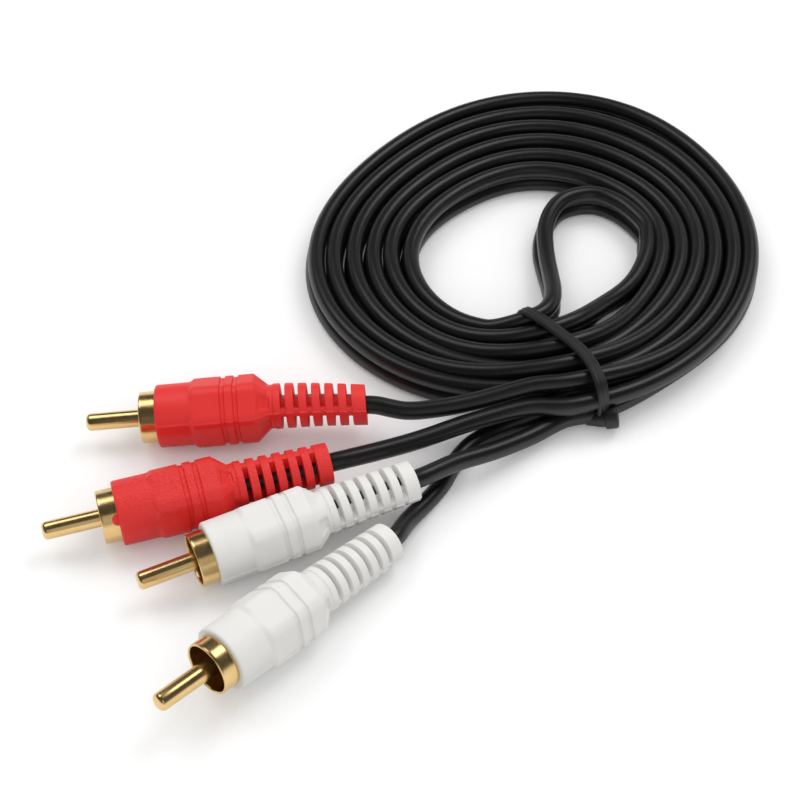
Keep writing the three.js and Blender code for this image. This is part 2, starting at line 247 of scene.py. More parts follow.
def add_node(
    tree: bpy.types.NodeTree,
    kind: str,
    values: dict | None = None,
    links: dict | None = None,
    **settings: object,
) -> bpy.types.Node:
    """Adds a node with its settings, socket values and incoming links.

    Args:
        tree: The node tree.
        kind: The node's type name.
        values: Socket name or number to constant value.
        links: Socket name or number to the output socket that feeds it.
        settings: The node's own properties.

    Returns:
        The new node.
    """
    node = tree.nodes.new(kind)
    for key, value in settings.items():
        setattr(node, key, value)
    for key, value in (values or {}).items():
        node.inputs[key].default_value = value
    for key, source in (links or {}).items():
        tree.links.new(source, node.inputs[key])
    return node


def blank_material(name: str) -> tuple[bpy.types.Material, bpy.types.NodeTree]:
    """Makes a material with an empty node tree.

    Args:
        name: The material's name.

    Returns:
        The material and its node tree.
    """
    material = bpy.data.materials.new(name)
    material.use_nodes = True
    material.node_tree.nodes.clear()
    return material, material.node_tree


@dataclass(frozen=True)
class SurfaceFinish(ABC):
    """What every finish shares: soft patches of colour and gloss over a fine relief.

    Sizes are in millimetres. The second colour and the duller gloss come together, in the
    patches. A relief that is finer on the real piece is drawn as coarse as it needs to be to
    show.
    """

    name: str
    colour: str
    patch_colour: str
    roughness: float
    ior: float = 1.5
    metallic: float = 0.0
    glossier: float = 0.07
    duller: float = 0.07
    patch_size: float = 9.0
    patch_detail: float = 4.0
    relief_depth: float = 0.01
    relief_strength: float = 1.0

    @abstractmethod
    def relief(self, tree: bpy.types.NodeTree) -> bpy.types.NodeSocket:
        """Makes the nodes of the relief that this surface has from its making.

        Args:
            tree: The material's node tree.

        Returns:
            The relief's height, in units of its depth.
        """

    def material(self) -> bpy.types.Material:
        """Builds the material.

        Returns:
            The new material.
        """
        material, tree = blank_material(self.name)
        place = add_node(tree, "ShaderNodeTexCoord").outputs["Object"]
        patches = add_node(
            tree, "ShaderNodeTexNoise",
            {"Scale": 1 / (self.patch_size * MM), "Detail": self.patch_detail}, {"Vector": place},
        ).outputs["Fac"]
        colour = add_node(
            tree, "ShaderNodeMixRGB",
            {"Color1": linear(self.colour), "Color2": linear(self.patch_colour)},
            {"Fac": patches},
        )
        gloss = add_node(
            tree, "ShaderNodeMapRange",
            {"To Min": self.roughness - self.glossier, "To Max": self.roughness + self.duller},
            {"Value": patches},
        )
        bump = add_node(
            tree, "ShaderNodeBump",
            {"Strength": self.relief_strength, "Distance": self.relief_depth * MM},
            {"Height": self.relief(tree)},
        )
        shader = add_node(
            tree, "ShaderNodeBsdfPrincipled", {"IOR": self.ior, "Metallic": self.metallic},
            {
                "Base Color": colour.outputs["Color"],
                "Roughness": gloss.outputs["Result"],
                "Normal": bump.outputs["Normal"],
            },
        )
        add_node(tree, "ShaderNodeOutputMaterial", links={"Surface": shader.outputs["BSDF"]})
        return material


@dataclass(frozen=True)
class MouldedPlastic(SurfaceFinish):
    """Plastic moulded in a spark-eroded tool: satin, a little cloudy in its colour."""

    ior: float = 1.53
    glossier: float = 0.06
    duller: float = 0.08
    patch_size: float = 7.0
    patch_detail: float = 3.0
    relief_depth: float = 0.012
    grain_size: float = 0.16
    grain_detail: float = 0.6
    pit_depth: float = 0.0
    pit_size: float = 0.38
    pitted_above: tuple[float, float] = (8.6, 9.8)

    def relief(self, tree: bpy.types.NodeTree) -> bpy.types.NodeSocket:
        """Makes the grain that the eroded tool leaves, and the pits of a worn tool.

        Args:
            tree: The material's node tree.

        Returns:
            The height of the grain, with the pits where there are any.
        """
        place = add_node(tree, "ShaderNodeTexCoord").outputs["Object"]
        grain = add_node(
            tree, "ShaderNodeTexNoise",
            {"Scale": 1 / (self.grain_size * MM), "Detail": 2.0, "Roughness": self.grain_detail},
            {"Vector": place},
        ).outputs["Fac"]
        return self.pitted(tree, place, grain) if self.pit_depth else grain

    def pitted(
        self,
        tree: bpy.types.NodeTree,
        place: bpy.types.NodeSocket,
        grain: bpy.types.NodeSocket,
    ) -> bpy.types.NodeSocket:
        """Adds the pits of a worn mould to the upper facets.

        Args:
            tree: The material's node tree.
            place: The object-space position.
            grain: The fine grain's height.

        Returns:
            The height of grain and pits together.
        """
        pits = add_node(
            tree, "ShaderNodeTexNoise",
            {"Scale": 1 / (self.pit_size * MM), "Detail": 1.0}, {"Vector": place},
        )
        low, high = self.pitted_above
        up = add_node(tree, "ShaderNodeSeparateXYZ", links={"Vector": place}).outputs["Z"]
        upper = add_node(
            tree, "ShaderNodeMapRange",
            {
                "From Min": low * MM,
                "From Max": high * MM,
                "To Max": self.pit_depth / self.relief_depth,
            },
            {"Value": up},
        )
        deep = add_node(
            tree, "ShaderNodeMath", links={0: pits.outputs["Fac"], 1: upper.outputs["Result"]},
            operation="MULTIPLY",
        )
        both = add_node(
            tree, "ShaderNodeMath", links={0: deep.outputs["Value"], 1: grain}, operation="ADD"
        )
        return both.outputs["Value"]


@dataclass(frozen=True)
class GoldPlatedBrass(SurfaceFinish):
    """Thin gold over drawn and turned brass: bright, with fine lines and a warmer haze."""

    metallic: float = 1.0
    glossier: float = 0.05
    duller: float = 0.1
    patch_size: float = 1.6
    relief_depth: float = 0.0015
    relief_strength: float = 0.6
    line_spacing: float = 0.11
    breaks_around: float = 40.0

    def relief(self, tree: bpy.types.NodeTree) -> bpy.types.NodeSocket:
        """Makes the turning lines, which run round and break off here and there.

        Args:
            tree: The material's node tree.

        Returns:
            The lines' height.
        """
        unrolled = add_node(tree, "ShaderNodeTexCoord").outputs["UV"]
        stretched = add_node(
            tree, "ShaderNodeMapping",
            {"Scale": (1 / (self.line_spacing * MM), self.breaks_around, 1.0)},
            {"Vector": unrolled},
        )
        lines = add_node(
            tree, "ShaderNodeTexNoise", {"Scale": 1.0, "Detail": 2.0},
            {"Vector": stretched.outputs["Vector"]},
        )
        return lines.outputs["Fac"]


@dataclass(frozen=True)
class ExtrudedPVC(SurfaceFinish):
    """Flexible PVC drawn out through a die: satin, rubbed in patches, with a fine orange peel."""

    ior: float = 1.53
    peel_size: float = 0.22

    def relief(self, tree: bpy.types.NodeTree) -> bpy.types.NodeSocket:
        """Makes the orange peel of an extruded jacket.

        Args:
            tree: The material's node tree.

        Returns:
            The peel's height.
        """
        place = add_node(tree, "ShaderNodeTexCoord").outputs["Object"]
        peel = add_node(
            tree, "ShaderNodeTexNoise", {"Scale": 1 / (self.peel_size * MM), "Detail": 3.0},
            {"Vector": place},
        )
        return peel.outputs["Fac"]


class Finish(Enum):
    """The finishes that pieces choose from."""

    # Soft PVC from a worn tool: a full red with a satin sheen and no hard highlights
    RED = MouldedPlastic("moulded_red_pvc", "#e01c19", "#e5241f", 0.46)

    # The same PVC where the tool was pitted: its upper facets look finely pebbled
    RED_PITTED = MouldedPlastic(
        "moulded_red_pvc_pitted", "#e01c19", "#e5241f", 0.46, pit_depth=0.2
    )

    # Soft PVC filled with white pigment: a faintly warm white, a little duller than the red
    WHITE = MouldedPlastic("moulded_white_pvc", "#dfdedb", "#e7e6e3", 0.5)

    # Flash gold on turned brass, worn warmer in places: pale gold with dark, drawn-out
    # reflections
    GOLD = GoldPlatedBrass("gold_plated_brass", "#dcb671", "#eacd98", 0.2)

    # Cable PVC straight from the die: near black, with one narrow soft highlight
    BLACK = ExtrudedPVC("extruded_black_pvc", "#070707", "#0b0b0b", 0.36)

    # The tie's PVC: the same black a little greyer and duller
    TIE = ExtrudedPVC("moulded_black_tie_pvc", "#0c0c0c", "#121212", 0.48)

    # Polythene deep in the shell, in a dull dark amber that is painted shade and painted gold
    # reflection
    INSULATOR = MouldedPlastic("polythene_painted_shade", "#6d4c1c", "#7a5622", 0.55)

    def dress(self, *pieces: bpy.types.Object) -> None:
        """Gives pieces this finish, made once and shared.

        Args:
            pieces: The objects to dress.
        """
        material = bpy.data.materials.get(self.value.name) or self.value.material()
        for piece in pieces:
            piece.data.materials.clear()
            piece.data.materials.append(material)


# Plug


@dataclass
class PhonoPlug:
    """One moulded phono plug: gold pin and shell in a coloured moulding with a slotted relief.

    Places along the plug are measured from the pin's tip, and angles round it from the
    mould's parting plane, in degrees where they are fields and in radians in the methods.
    """

    name: str
    finish: Finish
    slot: str
    tip: tuple[float, float]
    heading: float
    pitch: float
    roll: float
    key_angle: float

    # The cable's free route from the plug to the tie
    tail: tuple[Point, ...]

    # How far the relief's end is bent away from the camera and up. The bend grows along the
    # relief by this power of the distance
    bend: tuple[float, float] = (0.0, 0.0)
    bend_power: float = 1.6

    # Where the relief's sleeve is open to the cable: its middle, its half width and how that
    # fades at each side, and the first slot that is open
    bare_angle: float = 90.0
    bare_half: float = 40.0
    bare_fade: tuple[float, float] = (4.0, 6.0)
    first_bare_slot: int = 0

    pin_radius: float = 1.6
    pin_tip_rounding: float = 0.8
    pin_length: float = 20.9
    shell_start: float = 10.1
    shell_end: float = 18.6
    shell_radius: float = 4.7
    shell_wall: float = 0.45
    shell_hole_radius: float = 2.62
    bush_length: float = 1.4
    bush_chamfer: float = 0.25
    bush_play: float = 0.02
    bush_back_play: float = 0.05
    pin_play: float = 0.03

    mould_start: float = 13.1
    mould_bite: float = 0.15
    mould_clearance: float = 0.1
    body_start: float = 19.2
    body_full: float = 20.3
    body_end: float = 31.0
    taper_end: float = 33.65
    relief_start: float = 34.4
    end: float = 51.2
    collar_radius: float = 5.75
    flat_radius: float = 5.85
    corner_radius: float = 6.35
    corner_blend: float = 0.16
    neck_radius: float = 4.0
    relief_start_radius: float = 4.2
    relief_end_radius: float = 3.72
    edge_rounding: float = 0.45

    groove_places: tuple[float, float] = (25.4, 27.76)
    groove_width: float = 0.9
    groove_depth: float = 0.35
    groove_edges: tuple[float, float] = (-0.14, 0.06)

    # The flats on the taper: where they start past the body and stop past the taper, how
    # soft their ends are, and how far from the middle and how wide they are round the plug
    recess_depth: float = 0.28
    recess_ends: tuple[float, float] = (0.75, 0.1)
    recess_edge: float = 0.1
    recess_turn: float = 60.0
    recess_sides: tuple[float, float] = (13.0, 16.0)

    slot_count: int = 6
    first_slot: float = 36.15
    slot_pitch: float = 2.41
    slot_width: float = 0.92
    slot_draft: float = 0.05
    web_half: float = 0.76
    web_inset: float = 0.12
    web_blend: float = 0.1
    sleeve_radius: float = 2.05
    core_radius: float = 1.55
    mouth_flare: float = 0.35
    mouth_depth: float = 0.5

    # A ring's rounded edge: distances back from the edge and down, in units of its rounding
    ring_rounding: float = 0.2
    ring_edge: tuple[tuple[float, float], ...] = (
        (0.96, 0.0), (0.48, 0.05), (0.192, 0.22), (0.016, 0.6),
    )

    flash_height: float = 0.16
    flash_angle: float = 1.6
    flash_unevenness: float = 0.6
    flash_waves: float = 0.9

    key_width: float = 2.2
    key_shows: float = 1.1
    key_hidden: float = 0.6
    key_sunk: float = 0.3
    key_crown: float = 0.16
    key_crown_rise: float = 1.3

    @cached_property
    def place(self) -> Matrix:
        """The plug's place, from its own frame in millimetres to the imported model's in metres.

        Returns:
            The transform, which lays the plug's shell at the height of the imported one.
        """
        low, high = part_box(f"{self.name}_ground_shell")
        middle = (self.shell_start + self.shell_end) / 2
        height = (low[2] + high[2]) / 2 / MM - middle * math.sin(math.radians(self.pitch))
        return (
            Matrix.Scale(MM, 4)
            @ Matrix.Translation((*self.tip, height))
            @ Matrix.Rotation(math.radians(self.heading), 4, "Z")
            @ Matrix.Rotation(-math.radians(self.pitch), 4, "Y")
            @ Matrix.Rotation(math.radians(self.roll), 4, "X")
        )

    def located(self, along: float, radius: float = 0.0, angle: float = 0.0) -> Vector:
        """Finds a point of the plug as it lies, with its strain relief bent.

        Args:
            along: Distance from the pin's tip along the axis.
            radius: Distance from the axis.
            angle: Turn about the axis from the parting plane.

        Returns:
            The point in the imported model's frame, in metres.
        """
        share = max(along - self.relief_start, 0.0) / (self.end - self.relief_start)
        away, up = self.bend
        sag = Vector((0, away, up)) * (share ** self.bend_power * MM)
        straight = Vector((along, radius * math.cos(angle), radius * math.sin(angle)))
        return self.place @ straight + sag

    @staticmethod
    def angles() -> list[float]:
        """Angles round the plug, closer beside the parting plane where the form turns fast.

        Returns:
            The angles in radians, once round.
        """
        close = [0, 0.9, 1.8, 3.2, 6, 9, 11.5, 13, 14.2, 15.4, 17, 19, 21.5, 24, 26.5, 29]
        quarter = close + [31.5 + 3.25 * i for i in range(18)]
        side = quarter + [90.0] + [180 - a for a in reversed(quarter)]
        return [math.radians(a) for a in side + [180 + a for a in side[1:-1]]]

    def hexagon(self, angle: float) -> float:
        """Radius of the six-sided body, with corners on the parting plane.

        Args:
            angle: The turn from the parting plane.

        Returns:
            The radius there.
        """
        turned = math.degrees(angle) % 60 - 30
        flat = self.flat_radius / math.cos(math.radians(turned))
        return soft_min(flat, self.corner_radius, self.corner_blend)

    def relief_radius(self, along: float) -> float:
        """Radius of the strain relief's cone."""
        share = (along - self.relief_start) / (self.end - self.relief_start)
        return self.relief_start_radius + share * (self.relief_end_radius - self.relief_start_radius)

    def slot_floor(self, along: float, angle: float) -> float:
        """Radius at the bottom of a relief slot.

        Args:
            along: The place along the plug.
            angle: The turn from the parting plane.

        Returns:
            The web's radius near the parting plane, and further round that of the thin
            sleeve on the cable or, where the sleeve is open, one below the cable's skin.
        """
        web = self.web_half / max(abs(math.sin(angle)), 1e-6)
        outer = self.relief_radius(along) - self.web_inset
        off_bare = abs((math.degrees(angle) - self.bare_angle + 180) % 360 - 180)
        before, after = self.bare_fade
        closed = smooth_step(self.bare_half - before, self.bare_half + after, off_bare)
        slot = round((along - self.first_slot) / self.slot_pitch)
        if slot < self.first_bare_slot:
            closed = 1.0
        sleeve = self.core_radius + closed * (self.sleeve_radius - self.core_radius)
        return max(sleeve, soft_min(web, outer, self.web_blend))

    def recess(self, along: float, angle: float) -> float:
        """Depth of the small rectangular flats on the taper, beside the parting plane.

        Args:
            along: The place along the plug.
            angle: The turn from the parting plane.

        Returns:
            The depth, 0 away from the flats.
        """
        off_centre = abs(math.degrees(angle) % 180 - 90)
        across = 1 - smooth_step(*self.recess_sides, abs(off_centre - self.recess_turn))
        past_body, past_taper = self.recess_ends
        start, stop = self.body_end + past_body, self.taper_end + past_taper
        edge = self.recess_edge
        lengthwise = smooth_step(start - edge, start + edge, along)
        lengthwise *= 1 - smooth_step(stop - edge, stop + edge, along)
        return self.recess_depth * across * lengthwise

    def outline(self, along: float, angle: float) -> float:
        """Radius of the moulding where no slot cuts it.

        Args:
            along: The place along the plug.
            angle: The turn from the parting plane.

        Returns:
            The radius there, with the grooves taken off and the flash put on.
        """
        hexagon = self.hexagon(angle)
        if along <= self.body_full:
            share = smooth_step(self.body_start, self.body_full, along)
            radius = self.collar_radius + share * (hexagon - self.collar_radius)
        elif along <= self.body_end:
            radius = hexagon
        elif along <= self.taper_end:
            slope = (self.corner_radius - self.neck_radius) / (self.taper_end - self.body_end)
            radius = max(hexagon - slope * (along - self.body_end), self.neck_radius)
            radius -= self.recess(along, angle)
        elif along <= self.relief_start:
            radius = self.neck_radius
        else:
            radius = self.relief_radius(along)
        for groove in self.groove_places:
            away = abs(along - groove) - self.groove_width / 2
            radius -= self.groove_depth * (1 - smooth_step(*self.groove_edges, away))
        return radius + self.flash(along, angle)

    def flash(self, along: float, angle: float) -> float:
        """Height of the thin line of flash that stands along the mould's parting plane.

        Args:
            along: The place along the plug.
            angle: The turn from the parting plane.

        Returns:
            The height, which fades to nothing beside the line.
        """
        turn = math.degrees(angle) % 180
        away = min(turn, 180 - turn)
        spot = Vector((along * self.flash_waves, round(angle), self.heading))
        uneven = 1 + self.flash_unevenness * noise.noise(spot)
        return self.flash_height * uneven * math.exp(-((away / self.flash_angle) ** 2))

    def stations(self) -> list[tuple[float, Callable[[float], float]]]:
        """The sections along the moulding, from its hidden front to the hole in its end.

        Returns:
            For each section its place and its radius as a function of the angle.
        """
        out: list[tuple[float, Callable[[float], float]]] = []

        def plain(along: float, drop: float = 0.0) -> None:
            """Adds a section of the uncut outline, lowered by a drop."""
            out.append((along, lambda angle: self.outline(along, angle) - drop))

        def rim(edge: float, side: int) -> None:
            """Adds a ring's rounded edge: side is 1 where the ring starts and -1 at its end."""
            ring = self.ring_rounding
            for away, drop in self.ring_edge if side < 0 else reversed(self.ring_edge):
                plain(edge + side * away * ring, drop * ring)

        # The front, whose hidden inner end starts behind the shell and leaves it open
        inner = self.shell_radius - self.mould_bite
        rounding = self.edge_rounding
        out.append((self.shell_end + self.mould_clearance, lambda angle: inner))
        out.append((self.mould_start, lambda angle: inner))
        out.append((self.mould_start, lambda angle: self.collar_radius - rounding))
        for degrees in (18, 36, 54, 72, 90):
            turn = math.radians(degrees)
            plain(self.mould_start + rounding * (1 - math.cos(turn)), rounding * (1 - math.sin(turn)))

        # The body: where each stretch starts and how far apart its sections are, fine where
        # the form turns and coarse where it is straight
        first_groove, last_groove = self.groove_places
        stretches = (
            (self.mould_start + rounding + 0.6, 1.2), (self.body_start - 0.3, 0.12),
            (self.body_full + 0.3, 0.9), (first_groove - 0.8, 0.07), (last_groove + 0.8, 0.9),
            (self.body_end - 0.4, 0.16), (self.relief_start, 0.0),
        )
        for (start, step), (stop, _) in zip(stretches, stretches[1:]):
            count = max(1, round((stop - start) / step))
            for i in range(count):
                plain(start + (stop - start) * i / count)

        # The relief: rings with a slot between each two
        rim(self.relief_start, 1)
        for i in range(self.slot_count):
            centre = self.first_slot + i * self.slot_pitch
            half = self.slot_width / 2
            rim(centre - half, -1)
            for along in (centre - half + self.slot_draft, centre, centre + half - self.slot_draft):
                out.append((along, lambda angle, at=along: self.slot_floor(at, angle)))
            rim(centre + half, 1)
        rim(self.end, -1)
        out.append((self.end, lambda angle: self.core_radius + self.mouth_flare))
        out.append((self.end - self.mouth_depth, lambda angle: self.core_radius))
        return out

    def moulding(self) -> bpy.types.Object:
        """Builds the coloured moulding as one closed skin.

        Returns:
            The new object.
        """
        angles = self.angles()
        stations = self.stations()
        points = [self.located(along, radius(a), a) for along, radius in stations for a in angles]
        return make_object(f"{self.name}_moulding", points, capped(len(stations), len(angles)))

    def turned(
        self, name: str, profile: Sequence[tuple[float, float]], sides: int = 96
    ) -> bpy.types.Object:
        """Turns a closed profile of (along, radius) about the plug's axis.

        Args:
            name: The object's name.
            profile: The profile's points, from the outside front round to the inside.
            sides: How many sides the turning has.

        Returns:
            The new object. Its texture coordinates are the length along the axis in metres
            and the turn as a share of a whole one.
        """
        turns = [2 * math.pi * i / sides for i in range(sides)]
        points = [self.located(along, radius, turn) for along, radius in profile for turn in turns]
        made = make_object(name, points, ring_faces(len(profile), sides, closed=True))
        layer = made.data.uv_layers.new(name="lengths")
        for loop in made.data.loops:
            ring, side = divmod(loop.vertex_index, sides)
            layer.data[loop.index].uv = (profile[ring][0] * MM, side / sides)
        return made

    def pin(self) -> bpy.types.Object:
        """Builds the centre pin with its rounded tip.

        Returns:
            The new object.
        """
        rounding, radius = self.pin_tip_rounding, self.pin_radius
        core, doming = 0.02, 0.012
        flat = radius - rounding
        profile = [(0.0, core), (0.0, flat * 0.55), (doming, flat)]
        for degrees in range(15, 91, 15):
            turn = math.radians(degrees)
            profile.append(
                (rounding * (1 - math.cos(turn)), radius - rounding * (1 - math.sin(turn)))
            )
        profile += [(along, radius) for along in (3.0, 6.0, 9.0, 12.0, 16.0)]
        profile += [(self.pin_length, radius), (self.pin_length, core)]
        return self.turned(f"{self.name}_pin", profile, 64)

    def shell(self) -> bpy.types.Object:
        """Builds the thin gold shell with its rolled front edge.

        Returns:
            The new object.
        """
        outer, inner = self.shell_radius, self.shell_radius - self.shell_wall
        lip, middle = self.shell_wall / 2, (outer + inner) / 2
        steps = (0.6, 1.6, 3.0, 5.5)
        profile = []
        for degrees in range(-90, 91, 30):
            turn = math.radians(degrees)
            front = self.shell_start + lip * (1 - math.cos(turn))
            profile.append((front, middle + lip * math.sin(turn)))
        profile += [(self.shell_start + along, outer) for along in steps]
        back = self.shell_end - self.shell_wall
        profile += [(self.shell_end, outer), (self.shell_end, self.shell_hole_radius)]
        profile += [(back, self.shell_hole_radius), (back, inner)]
        profile += [(self.shell_start + along, inner) for along in reversed(steps)]
        return self.turned(f"{self.name}_shell", profile)

    def bush(self) -> bpy.types.Object:
        """Builds the insulating bush that closes the shell round the pin.

        Returns:
            The new object.
        """
        outer = self.shell_radius - self.shell_wall - self.bush_play
        inner = self.pin_radius + self.pin_play
        back = self.shell_end - self.shell_wall - self.bush_back_play
        front = back - self.bush_length
        profile = [
            (front, inner), (front, outer - self.bush_chamfer),
            (front + self.bush_chamfer, outer), (back, outer), (back, inner),
        ]
        return self.turned(f"{self.name}_bush", profile, 72)

    def key(self) -> bpy.types.Object:
        """Builds the small rounded tongue of the moulding that lies in the shell's slot.

        Returns:
            The new object.
        """
        half = self.key_width / 2
        front = self.mould_start - self.key_shows
        rows = 14
        across = 10
        points: list[Vector] = []
        for layer in (0.02, 1.0):
            for i in range(rows + 1):
                along = front + (self.key_shows + self.key_hidden) * i / rows
                nose = min(1.0, (along - front) / half)
                width = half * math.sqrt(max(1 - (1 - nose) ** 2, 0.0))
                rise = min(1.0, math.sqrt(max(nose, 0.0)) * self.key_crown_rise)
                for j in range(across + 1):
                    share = 2 * j / across - 1
                    crown = self.key_crown * (1 - share ** 4) * rise
                    radius = self.shell_radius - self.key_sunk + layer * (self.key_sunk + crown)
                    turn = math.radians(self.key_angle) + share * width / self.shell_radius
                    points.append(self.located(along, radius, turn))
        wide = across + 1
        above = wide * (rows + 1)
        faces: list[tuple[int, ...]] = []
        for i in range(rows):
            for j in range(across):
                a = i * wide + j
                faces.append((a, a + 1, a + wide + 1, a + wide))
                faces.append((above + a, above + a + wide, above + a + wide + 1, above + a + 1))
        for i in range(rows):
            a, b = i * wide, i * wide + across
            faces.append((a, a + wide, above + a + wide, above + a))
            faces.append((b, above + b, above + b + wide, b + wide))
        for j in range(across):
            a, b = j, rows * wide + j
            faces.append((a, above + a, above + a + 1, a + 1))
            faces.append((b, b + 1, above + b + 1, above + b))
        return make_object(f"{self.name}_key", points, faces)

    def build(self) -> None:
        """Makes, dresses and places every piece of the plug."""
        moulding, key = self.moulding(), self.key()
        shell, pin, bush = self.shell(), self.pin(), self.bush()
        self.finish.dress(moulding, key)
        Finish.GOLD.dress(shell, pin)
        # The bush's dark amber is painted shade and painted gold reflection, not the polythene's own
        # colour
        Finish.INSULATOR.dress(bush)
        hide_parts(f"{self.name}_overmould")
        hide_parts(f"{self.name}_ground_shell")
        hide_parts(f"{self.name}_centre_pin")
        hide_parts(f"{self.name}_insulator")
        for piece, slot in (
            (moulding, self.slot), (key, self.slot), (shell, "gold_plate"),
            (pin, "gold_plate"), (bush, "insulator_plastic"),
        ):
            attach(piece, BODY)
            log.info("%s: %d faces", piece.name, len(piece.data.polygons))


# Winding


@dataclass
class Winding:
    """The doubled twin cable's turns: where each strand lies in the flat coil.

    Places round the coil are degrees clockwise from its near side, seen from above, and count
    on from turn to turn.
    """

    centre: tuple[float, float] = (55.8, 77.5)

    # The innermost turn's radius and the distance between pairs, at equal steps anticlockwise
    # round the coil from its right side
    first_radius: tuple[float, ...] = (22.3, 22.8, 21.8, 20.8, 24.35, 27.6, 27.2, 21.0)
    spacing: tuple[float, ...] = (3.52, 4.28, 4.68, 3.98, 3.83, 3.5, 2.9, 3.3)

    strand_radius: float = 1.7
    tie_angle: float = -4.0
    tie_spread: float = 26.0
    tie_lift: float = 1.3
    nesting_rise: float = 1.7

    # How far the tie pushes a strand pair out and lifts it: a row for each half, turn by turn
    tie_nudges: tuple[tuple[tuple[float, float], ...], ...] = (
        ((-1.0, -0.4), (0.7, 0.0), (-0.3, 0.0), (-1.5, 0.0)),
        ((-0.7, 1.9), (0.2, -0.7), (-0.9, -0.7), (0.1, 0.0)),
    )

    # Where a half lies off the even winding: the half, degrees clockwise, reach and push out
    stray: tuple[tuple[int, float, float, float], ...] = (
        (0, 58.0, 34.0, 0.5), (0, 100.0, 25.0, -0.3), (1, -30.0, 20.0, -1.7),
        (1, -92.0, 14.0, 0.5), (0, 932.0, 26.0, 0.5), (1, 928.0, 24.0, 1.1),
    )

    # Where the lower strand is tucked in under the upper: place round the coil, reach, push in
    tucks: tuple[tuple[float, float, float], ...] = ((98.0, 32.0, -0.4), (325.0, 25.0, 2.0))

    # How far the two strands sway to opposite sides, how many times a turn, and by how many
    # degrees the outer half's sway runs ahead
    sway: float = 0.16
    sway_rate: float = 1.7
    sway_apart: float = 130.0

    @staticmethod
    def round_the_coil(values: Sequence[float], angle: float) -> float:
        """Value at an angle of a quantity that is given at equal steps round the coil.

        Args:
            values: The values at the steps, from angle 0 on.
            angle: The angle, in radians.

        Returns:
            The value of the smoothest wave through the given ones.
        """
        count = len(values)
        total = sum(values) / count
        for wave in range(1, count // 2 + 1):
            share = 1 / count if 2 * wave == count else 2 / count
            total += share * sum(
                value * math.cos(wave * (angle - i * 2 * math.pi / count))
                for i, value in enumerate(values)
            )
        return total

    @staticmethod
    def turns_out(clockwise: float) -> float:
        """How many strand pairs out the doubled lead's inner half lies.

        Args:
            clockwise: The place along the turns.

        Returns:
            An even number over each turn's first half, and a smooth step out by two pairs
            over its second half.
        """
        whole = math.floor(clockwise / 360)
        share = min(max((clockwise - 360 * whole - 180) / 180, 0.0), 1.0)
        return 2 * (whole + share - math.sin(2 * math.pi * share) / (2 * math.pi))

    def near_tie(self, clockwise: float) -> float:
        """How far the tie is felt: 1 under it, fading to 0 away from it."""
        away = (clockwise - self.tie_angle + 180) % 360 - 180
        return math.exp(-((away / self.tie_spread) ** 2))

    def strand(self, clockwise: float, half: int, upper: int) -> Vector:
        """The centre of one strand, in millimetres.

        Args:
            clockwise: The place along the turns.
            half: 0 for the inner half of the doubled lead, 1 for the outer half.
            upper: 0 for the lower strand, 1 for the upper.

        Returns:
            The strand's centre there.
        """
        angle = math.radians(270 - clockwise)
        column = self.turns_out(clockwise) + half
        felt = self.near_tie(clockwise)
        nudges = self.tie_nudges[half]
        push, lift = nudges[min(max(round(clockwise / 360), 0), len(nudges) - 1)]
        radius = self.round_the_coil(self.first_radius, angle)
        radius += self.round_the_coil(self.spacing, angle) * column + push * felt
        for strays, place, reach, out in self.stray:
            if strays == half:
                radius += out * math.exp(-(((clockwise - place) / reach) ** 2))
        rise = (self.tie_lift + (0 if half else self.nesting_rise) + lift) * felt
        phase = math.radians(clockwise * self.sway_rate + self.sway_apart * half)
        radius += self.sway * math.sin(phase) * (1 - felt) * (0.5 - upper) * 2
        if not upper:
            for place, reach, tuck in self.tucks:
                away = (clockwise - place + 180) % 360 - 180
                radius -= tuck * math.exp(-((away / reach) ** 2)) * (1 - felt ** 3)
        height = self.strand_radius * (1 + 2 * upper) + max(rise, 0.0)
        x, y = self.centre
        return Vector((x + radius * math.cos(angle), y + radius * math.sin(angle), height))


